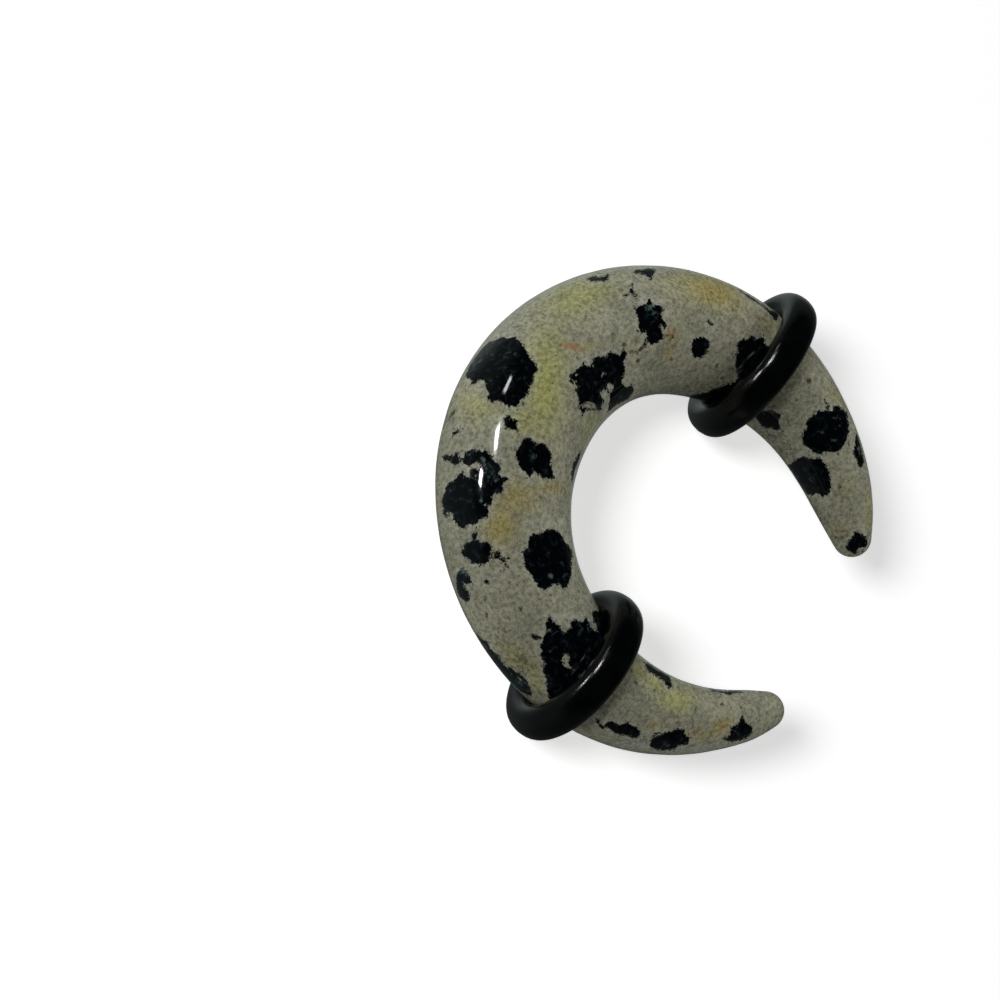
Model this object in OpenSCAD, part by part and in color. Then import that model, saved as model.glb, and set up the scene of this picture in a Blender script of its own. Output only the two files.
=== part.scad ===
// Crescent ear stretching taper in polished spotted stone, with two rubber O-rings.
// Millimetres, +Z up. It lies on its side, on both O-rings and the underside of its
// middle. The middle of the crescent is towards -Y, its mouth opens towards +Y,
// and the arms are at -X (left) and +X (right). The origin is on the surface it
// lies on, under the centre of its outline.

/* [Crescent] */
// Thickness at the middle, which is the gauge of the taper
gauge_d = 8; // [7:0.25:9]
// From the eye of the C to the stone's centreline at the middle
mid_reach = 13.65; // [13.2:0.05:14.2]
// From the eye to the centreline at the sides, a quarter turn from the middle
side_reach = 10.88; // [10.5:0.02:11.3]
// From the eye to the centreline at the tips
tip_reach = 9.58; // [9.2:0.02:10]
// Turn about the eye from the middle to each tip, in degrees
tip_turn = 140; // [132:1:144]

/* [O-rings] */
// Thickness of the O-ring's cord, across it
cord_d = 1.62; // [1.5:0.02:1.8]
// How much wider the squashed cord is along the stone
cord_squash = 0.44; // [0.3:0.02:0.5]
// Ease in the hole of an O-ring, which leaves a small gap to the stone
ring_ease = 0.1; // [0.1:0.01:0.14]
// Place of the left O-ring on its arm, from 0 at the middle to 1 at the tip
left_ring_at = 0.53; // [0.5:0.01:0.56]
// Place of the right O-ring on its arm, from 0 at the middle to 1 at the tip
right_ring_at = 0.5; // [0.47:0.01:0.53]
// Lean of the left O-ring in the plane of the C, in degrees
left_ring_lean = 4.1; // [3.5:0.1:4.7]
// Lean of the right O-ring in the plane of the C, in degrees
right_ring_lean = 7.2; // [6.6:0.1:7.8]
// Lean of the right O-ring out of the plane of the C, in degrees
right_ring_dip = 6; // [5.4:0.1:6.6]

/* [Fineness] */
// Steps along the stone
steps = 72; // [48:2:84]
// Sides round the stone
sides = 36; // [24:4:40]

/* [Hidden] */

// Taper of the stone from the left tip to the right tip.
// place: along the turn, -1 at the left tip, 0 at the middle, 1 at the right tip
// share: thickness there as a share of the gauge
//         place   share
taper = [[-1.00, 0.285],
         [-0.95, 0.368],
         [-0.86, 0.485],
         [-0.70, 0.625],
         [-0.50, 0.816],
         [-0.25, 0.939],
         [ 0.00, 1.000],
         [ 0.25, 0.890],
         [ 0.50, 0.752],
         [ 0.70, 0.570],
         [ 0.86, 0.422],
         [ 0.95, 0.343],
         [ 1.00, 0.269]];
last = len(taper) - 1;

// Natural cubic spline through the taper table: bend[i] is the second derivative
function gap(i) = taper[i + 1][0] - taper[i][0];
function rise(i) = (taper[i + 1][1] - taper[i][1]) / gap(i);
function fw_c(i) = i == 0 ? 0 :
    gap(i) / (2 * (gap(i - 1) + gap(i)) - gap(i - 1) * fw_c(i - 1));
function fw_d(i) = i == 0 ? 0 :
    (6 * (rise(i) - rise(i - 1)) - gap(i - 1) * fw_d(i - 1))
    / (2 * (gap(i - 1) + gap(i)) - gap(i - 1) * fw_c(i - 1));
function back(i) = i == last ? 0 : fw_d(i) - fw_c(i) * back(i + 1);
bend = [for (i = [0:last]) i == 0 ? 0 : back(i)];

function row(u, i = 0) = (i >= last - 1 || u <= taper[i + 1][0]) ? i : row(u, i + 1);

// Radius of the stone at place u, and its slope per unit of u
function radius(u) =
    let (i = row(u), h = gap(i), a = taper[i + 1][0] - u, b = u - taper[i][0])
    gauge_d / 2 * (bend[i] * pow(a, 3) / (6 * h) + bend[i + 1] * pow(b, 3) / (6 * h)
        + (taper[i][1] / h - bend[i] * h / 6) * a
        + (taper[i + 1][1] / h - bend[i + 1] * h / 6) * b);
function radius_slope(u) =
    let (i = row(u), h = gap(i), a = taper[i + 1][0] - u, b = u - taper[i][0])
    gauge_d / 2 * (-bend[i] * a * a / (2 * h) + bend[i + 1] * b * b / (2 * h)
        + rise(i) - (bend[i + 1] - bend[i]) * h / 6);

// Centreline: the distance from the eye is even in the turn, through three reaches
turns = tip_turn / 90;
c4 = ((tip_reach - mid_reach) / (turns * turns) - (side_reach - mid_reach))
    / (turns * turns - 1);
c2 = side_reach - mid_reach - c4;
function reach(q) = mid_reach + c2 * q * q + c4 * pow(q, 4);
function reach_slope(q) = (2 * c2 * q + 4 * c4 * pow(q, 3)) * 2 / PI;
function middle_at(u) =
    let (t = u * tip_turn, p = reach(t / 90)) [p * sin(t), -p * cos(t), 0];
function run(u) =
    let (t = u * tip_turn, p = reach(t / 90), s = reach_slope(t / 90))
    [s * sin(t) + p * cos(t), -s * cos(t) + p * sin(t), 0];
function along(u) = run(u) / norm(run(u));
function side_of(u) = let (t = along(u)) [t[1], -t[0], 0];
// Slope of the radius per millimetre of centreline
function flare(u) = radius_slope(u) / (norm(run(u)) * tip_turn * PI / 180);

// One ring of points round the stone: centre c, radius r, across the direction at u
function loop(u, c, r) =
    [for (j = [0:sides - 1]) let (w = 360 * j / sides)
        c + r * (cos(w) * side_of(u) + [0, 0, sin(w)])];
// The skin touches a ball of the stone's radius at every place along the centreline
function skin(u) =
    loop(u, middle_at(u) - radius(u) * flare(u) * along(u),
         radius(u) * sqrt(1 - pow(flare(u), 2)));
// Rounded tip: the ball at the end, from where the skin leaves it to its pole
tip_rings = 6;
function tip_skin(e) = [for (k = [1:tip_rings])
    let (start = asin(-e * flare(e)), b = start + (90 - start) * k / (tip_rings + 1))
    loop(e, middle_at(e) + e * radius(e) * sin(b) * along(e), radius(e) * cos(b))];
function flip(list) = [for (i = [len(list) - 1:-1:0]) list[i]];
function pole(e) = middle_at(e) + e * radius(e) * along(e);

loops = concat(flip(tip_skin(-1)),
               [for (i = [0:steps]) skin(-1 + 2 * i / steps)],
               tip_skin(1));

module stone_shape() {
    n = len(loops);
    points = concat([pole(-1)], [for (l = loops) for (p = l) p], [pole(1)]);
    end = len(points) - 1;
    function at(i, j) = 1 + i * sides + j % sides;
    polyhedron(points = points, faces = concat(
        [for (j = [0:sides - 1]) [0, at(0, j), at(0, j + 1)]],
        [for (i = [0:n - 2]) for (j = [0:sides - 1])
            [at(i, j), at(i + 1, j), at(i + 1, j + 1)]],
        [for (i = [0:n - 2]) for (j = [0:sides - 1])
            [at(i, j), at(i + 1, j + 1), at(i, j + 1)]],
        [for (j = [0:sides - 1]) [end, at(n - 1, j + 1), at(n - 1, j)]]));
}

// O-rings, a row each. A leaning O-ring settles a little off the centreline, towards
// the eye of the C and along Z.
// place: along the turn; lean, dip: in degrees; inward, up: its centre off the centreline
//         place            lean              dip               inward  up
rings = [[-left_ring_at,  -left_ring_lean,    0,                0.08,   0],
         [ right_ring_at,  right_ring_lean,  -right_ring_dip,   0.10,  -0.05]];
cord_r = cord_d / 2;
function ring_centre(i) =
    let (m = middle_at(rings[i][0])) m - rings[i][3] * m / norm(m) + [0, 0, rings[i][4]];
function ring_axis(i) =
    let (u = rings[i][0], a = rings[i][1], b = rings[i][2], t = along(u), s = -side_of(u))
    cos(b) * (cos(a) * t + sin(a) * s) + [0, 0, sin(b)];
// Hole of an O-ring: the stone there, cut on the lean, and the ease
function ring_hole(i) =
    let (u = rings[i][0])
    radius(u) / sqrt(1 - pow(flare(u), 2)) / (ring_axis(i) * along(u)) + ring_ease;

module o_ring_shape(i) {
    n = ring_axis(i);
    big = ring_hole(i) + cord_r;
    translate(ring_centre(i))
        rotate([0, acos(n[2]), atan2(n[1], n[0])])
            rotate_extrude($fn = 72) {
                translate([big, cord_squash / 2]) circle(r = cord_r, $fn = 36);
                translate([big, -cord_squash / 2]) circle(r = cord_r, $fn = 36);
                translate([big - cord_r, -cord_squash / 2]) square([cord_d, cord_squash]);
            }
}

// How far each piece reaches in the direction d
function stone_to(d) = max([for (i = [-80:80]) middle_at(i / 80) * d + radius(i / 80)]);
function ring_to(i, d) =
    let (e = ring_axis(i) * d)
    ring_centre(i) * d + (ring_hole(i) + cord_r) * sqrt(max(0, 1 - e * e))
    + cord_r + cord_squash / 2 * abs(e);
function all_to(d) = max(stone_to(d), ring_to(0, d), ring_to(1, d));

// Lie of the crescent: the pitch and roll at which both O-rings and the middle
// of the stone touch the surface together, found in a few steps
function down(l) = [sin(l[1]), -cos(l[1]) * sin(l[0]), -cos(l[1]) * cos(l[0])];
function settle(l, n) = n == 0 ? l :
    let (d = down(l), hl = ring_to(0, d), hr = ring_to(1, d),
         cl = ring_centre(0), cr = ring_centre(1),
         lift = (hl + hr) / 2 - stone_to(d))
    settle([l[0] + lift / (mid_reach + (cl[1] + cr[1]) / 2) * 180 / PI,
            l[1] + (hl - hr) / (cr[0] - cl[0]) * 180 / PI], n - 1);
lie = settle([5, 0], 10);

// Directions of the standing part, seen in the crescent's own plane
px = [cos(lie[1]), sin(lie[0]) * sin(lie[1]), cos(lie[0]) * sin(lie[1])];
py = [0, cos(lie[0]), -sin(lie[0])];
lift = all_to(down(lie));
shift_x = (all_to(-px) - all_to(px)) / 2;
shift_y = (all_to(-py) - all_to(py)) / 2;

module lay_down() {
    translate([shift_x, shift_y, lift]) rotate([lie[0], lie[1], 0]) children();
}

module stone_crescent() {
    color([0.78, 0.75, 0.64]) lay_down() stone_shape();
}
module o_ring_left() {
    color([0.03, 0.03, 0.03]) lay_down() o_ring_shape(0);
}
module o_ring_right() {
    color([0.03, 0.03, 0.03]) lay_down() o_ring_shape(1);
}

stone_crescent();
o_ring_left();
o_ring_right();
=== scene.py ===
import math

import bpy
import numpy as np
from mathutils import Matrix, Vector


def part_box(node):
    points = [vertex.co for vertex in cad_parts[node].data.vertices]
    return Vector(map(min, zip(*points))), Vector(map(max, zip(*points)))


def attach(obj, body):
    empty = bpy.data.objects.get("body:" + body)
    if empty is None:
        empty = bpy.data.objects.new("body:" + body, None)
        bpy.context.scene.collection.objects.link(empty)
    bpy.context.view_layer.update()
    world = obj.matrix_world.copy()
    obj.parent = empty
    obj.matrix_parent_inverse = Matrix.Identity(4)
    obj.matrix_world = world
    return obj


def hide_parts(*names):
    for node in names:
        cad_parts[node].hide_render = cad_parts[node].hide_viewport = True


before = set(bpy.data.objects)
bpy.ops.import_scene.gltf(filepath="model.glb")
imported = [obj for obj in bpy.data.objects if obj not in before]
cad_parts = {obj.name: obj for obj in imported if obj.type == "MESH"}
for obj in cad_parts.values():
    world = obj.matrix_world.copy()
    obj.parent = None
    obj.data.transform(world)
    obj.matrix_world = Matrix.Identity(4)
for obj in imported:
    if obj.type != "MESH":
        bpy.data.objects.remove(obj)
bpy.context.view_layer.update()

MM = 0.001

# ---------------------------------------------------------------- the crescent
# The same centreline, taper and lie as the CAD part, in millimetres. The crescent's own
# plane has the middle of the C towards -Y and its mouth towards +Y.
GAUGE = 8.0
MID_REACH, SIDE_REACH, TIP_REACH = 13.65, 10.88, 9.58
TURN = math.radians(140)
TAPER = np.array([[-1.00, .285], [-.95, .368], [-.86, .485], [-.70, .625], [-.50, .816],
                  [-.25, .939], [0, 1], [.25, .890], [.50, .752], [.70, .570],
                  [.86, .422], [.95, .343], [1.00, .269]])
PITCH, ROLL = math.radians(4.9755), math.radians(0.0187117)
SHIFT = np.array([0.116188, 4.57376, 5.1871])
UP = np.array([0.0, 0.0, 1.0])
LAY = (np.array([[math.cos(ROLL), 0, math.sin(ROLL)], [0, 1, 0], [-math.sin(ROLL), 0, math.cos(ROLL)]])
       @ np.array([[1, 0, 0], [0, math.cos(PITCH), -math.sin(PITCH)], [0, math.sin(PITCH), math.cos(PITCH)]]))


def unit(v):
    return v / np.linalg.norm(v, axis=-1, keepdims=True)


def natural_bends(x, y):
    n, h = len(x), np.diff(x)
    a, b = np.eye(n), np.zeros(n)
    for i in range(1, n - 1):
        a[i, i - 1], a[i, i], a[i, i + 1] = h[i - 1], 2 * (h[i - 1] + h[i]), h[i]
        b[i] = 6 * ((y[i + 1] - y[i]) / h[i] - (y[i] - y[i - 1]) / h[i - 1])
    return np.linalg.solve(a, b)


BENDS = natural_bends(TAPER[:, 0], TAPER[:, 1])


def taper_at(u):
    """Radius of the stone at place u, and its slope."""
    x, y = TAPER[:, 0], TAPER[:, 1]
    i = np.clip(np.searchsorted(x, u, side="right") - 1, 0, len(x) - 2)
    h, a, b = x[i + 1] - x[i], x[i + 1] - u, u - x[i]
    r = BENDS[i] * a**3 / (6 * h) + BENDS[i + 1] * b**3 / (6 * h) \
        + (y[i] / h - BENDS[i] * h / 6) * a + (y[i + 1] / h - BENDS[i + 1] * h / 6) * b
    s = -BENDS[i] * a * a / (2 * h) + BENDS[i + 1] * b * b / (2 * h) \
        + (y[i + 1] - y[i]) / h - (BENDS[i + 1] - BENDS[i]) * h / 6
    return GAUGE / 2 * r, GAUGE / 2 * s


TURNS = TURN / (math.pi / 2)
C4 = ((TIP_REACH - MID_REACH) / TURNS**2 - (SIDE_REACH - MID_REACH)) / (TURNS**2 - 1)
C2 = SIDE_REACH - MID_REACH - C4


def middle_at(u):
    t, q = u * TURN, u * TURNS
    p = MID_REACH + C2 * q**2 + C4 * q**4
    return np.stack([p * np.sin(t), -p * np.cos(t), 0 * t], -1)


def run(u):
    t, q = u * TURN, u * TURNS
    p = MID_REACH + C2 * q**2 + C4 * q**4
    s = (2 * C2 * q + 4 * C4 * q**3) * 2 / math.pi
    return np.stack([s * np.sin(t) + p * np.cos(t), -s * np.cos(t) + p * np.sin(t), 0 * t], -1)


def along(u):
    return unit(run(u))


def side_of(u):
    t = along(u)
    return np.stack([t[..., 1], -t[..., 0], 0 * t[..., 0]], -1)


def flare(u):
    return taper_at(u)[1] / (np.linalg.norm(run(u), axis=-1) * TURN)


FINE = np.linspace(-1, 1, 2401)
FINE_MID, FINE_R = middle_at(FINE), taper_at(FINE)[0]


def depth_of(p, place):
    """Signed distance of points near a place to the stone's skin, and the way out of the stone."""
    out, way = np.empty(len(p)), np.empty((len(p), 3))
    part = np.abs(FINE - place) < .17
    mids, radii = FINE_MID[part], FINE_R[part]
    for i in range(0, len(p), 3000):
        d = p[i:i + 3000, None] - mids[None]
        far = np.sqrt((d * d).sum(-1))
        k = (far - radii).argmin(1)
        j = np.arange(len(k))
        out[i:i + 3000] = (far - radii)[j, k]
        way[i:i + 3000] = d[j, k] / far[j, k][:, None]
    return out, way


def to_row(p):
    return p @ LAY.T + SHIFT


# Stations: even steps along the centreline, then the rounded ball at each tip
BODY, CAP, SIDES = 498, 14, 176
arc = np.concatenate([[0], np.cumsum(np.linalg.norm(np.diff(FINE_MID, axis=0), axis=1))])
us = np.interp(np.linspace(0, arc[-1], BODY), arc, FINE)
us[0], us[-1] = -1, 1
r_b, f_b = taper_at(us)[0], flare(us)
rings = [(u, middle_at(u) - r * f * along(u), r * math.sqrt(1 - f * f)) for u, r, f in zip(us, r_b, f_b)]
caps = {}
for e in (-1.0, 1.0):
    e_u = np.array(e)
    r, f, m, a = float(taper_at(e_u)[0]), float(flare(e_u)), middle_at(e_u), along(e_u)
    start = math.asin(-e * f)
    caps[e] = []
    for k in range(1, CAP + 1):
        b = start + (math.pi / 2 - start) * k / (CAP + 1)
        caps[e].append((e, m + e * r * math.sin(b) * a, r * math.cos(b)))
rings = caps[-1.0][::-1] + rings + caps[1.0]
ring_u = np.array([g[0] for g in rings])
ring_c = np.array([g[1] for g in rings])
ring_r = np.array([g[2] for g in rings])
COUNT = len(rings)
ws = 2 * math.pi * np.arange(SIDES) / SIDES - math.pi / 2
out_n = (np.cos(ws)[None, :, None] * side_of(ring_u)[:, None] + np.sin(ws)[None, :, None] * UP)
skin = ring_c[:, None] + ring_r[:, None, None] * out_n
poles = np.array([middle_at(np.array(e)) + e * taper_at(np.array(e))[0] * along(np.array(e)) for e in (-1.0, 1.0)])

stone_p = np.concatenate([skin.reshape(-1, 3), poles])
stone_n = unit(stone_p - np.concatenate([np.repeat(middle_at(ring_u), SIDES, axis=0), middle_at(np.array([-1.0, 1.0]))]))
# Hand polishing leaves the skin a few microns off true
hand = np.zeros(len(stone_p))
for (kx, ky, kz), ph, amp in (((1.3, .7, .4), .3, .010), ((-.6, 1.5, 1.1), 1.9, .009), ((.9, -1.2, 1.9), 4.1, .007),
                              ((2.6, 1.9, -.8), 2.2, .0045), ((-2.2, 2.8, 1.7), 5.3, .004), ((3.1, -2.5, 3.3), .9, .003)):
    hand += .45 * amp * np.sin(stone_p @ np.array([kx, ky, kz]) + ph)
stone_p = stone_p + stone_n * (hand - .004)[:, None]

box_lo, box_hi = (np.array(v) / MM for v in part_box("stone_crescent"))
row_p = to_row(stone_p)
NUDGE = (box_lo + box_hi) / 2 - (row_p.min(0) + row_p.max(0)) / 2
if np.abs(NUDGE).max() > .05:
    SHIFT = SHIFT + NUDGE
row_p = to_row(stone_p)
row_n = stone_n @ LAY.T

# ---------------------------------------------------------------- the camera
CAM_AT = np.array([82.89886721, -68.01438307, 150.95607559])
CAM_RIGHT = np.array([-0.44245801, 0.72384781, 0.52941029])
CAM_UP = np.array([-0.78324611, -0.59942426, 0.16497303])
CAM_BACK = np.array([0.43675674, -0.34166491, 0.83217104])
FOCAL = 3230.0  # in pixels of a 1000 x 1000 picture

cam_data = bpy.data.cameras.new("camera")
cam_data.lens = FOCAL / 1000 * 36
cam_data.sensor_width = 36
cam_data.sensor_fit = "HORIZONTAL"
cam_data.clip_start = 0.005
cam_data.clip_end = 20
cam = bpy.data.objects.new("camera", cam_data)
turn = np.eye(4)
turn[:3, 0], turn[:3, 1], turn[:3, 2], turn[:3, 3] = CAM_RIGHT, CAM_UP, CAM_BACK, CAM_AT * MM
cam.matrix_world = Matrix(turn.tolist())
bpy.context.scene.collection.objects.link(cam)
bpy.context.scene.camera = cam


def on_picture(p):
    d = p - CAM_AT
    z = -(d @ CAM_BACK)
    return np.stack([500 + FOCAL * (d @ CAM_RIGHT) / z, 500 - FOCAL * (d @ CAM_UP) / z], -1), z


# ---------------------------------------------------------------- the chart of the stone's pattern
# Each point of the skin gets a place on a flat chart, which is the front view with the
# last of the curve rolled out past the outline, so that a spot runs on round the side.
ROLL_AT = math.radians(68)
c_row = to_row(ring_c)
t_row = along(ring_u) @ LAY.T
view = CAM_AT - c_row
e2 = unit(view - (view * t_row).sum(-1, keepdims=True) * t_row)
e1 = np.cross(t_row, e2)
n_row = out_n @ LAY.T
cos_t = (n_row * e2[:, None]).sum(-1)
sin_t = (n_row * e1[:, None]).sum(-1)
theta = np.arctan2(sin_t, cos_t)
chart, depth = on_picture(to_row(skin).reshape(-1, 3))
chart, depth = chart.reshape(COUNT, SIDES, 2), depth.reshape(COUNT, SIDES)
sgn = np.where(theta >= 0, 1.0, -1.0)
edge_n = math.cos(ROLL_AT) * e2[:, None] + sgn[..., None] * math.sin(ROLL_AT) * e1[:, None]
edge_px, edge_z = on_picture(c_row[:, None] + ring_r[:, None, None] * edge_n)
c_px, c_z = on_picture(c_row)
lat = unit(on_picture(c_row + ring_r[:, None] * e1)[0] - c_px)
past = np.clip(np.abs(theta) - ROLL_AT, 0, None)
slope = math.cos(ROLL_AT)
rolled = slope * past + (1 - slope) * (past - .2 * (1 - np.exp(-past / .2)))
edge_px = edge_px + (sgn * rolled * ring_r[:, None] * FOCAL / c_z[:, None])[..., None] * lat[:, None]
chart = np.where((np.abs(theta) > ROLL_AT)[..., None], edge_px, chart)
pole_px, pole_z = on_picture(to_row(poles))
pole_theta = np.arccos(np.clip((unit(poles - middle_at(np.array([-1.0, 1.0]))) @ LAY.T * unit(CAM_AT - to_row(poles))).sum(-1), -1, 1))
chart = np.concatenate([chart.reshape(-1, 2), pole_px])
scale = np.concatenate([depth.reshape(-1), pole_z]) / FOCAL
turned = np.concatenate([np.abs(theta).reshape(-1), pole_theta])

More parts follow.
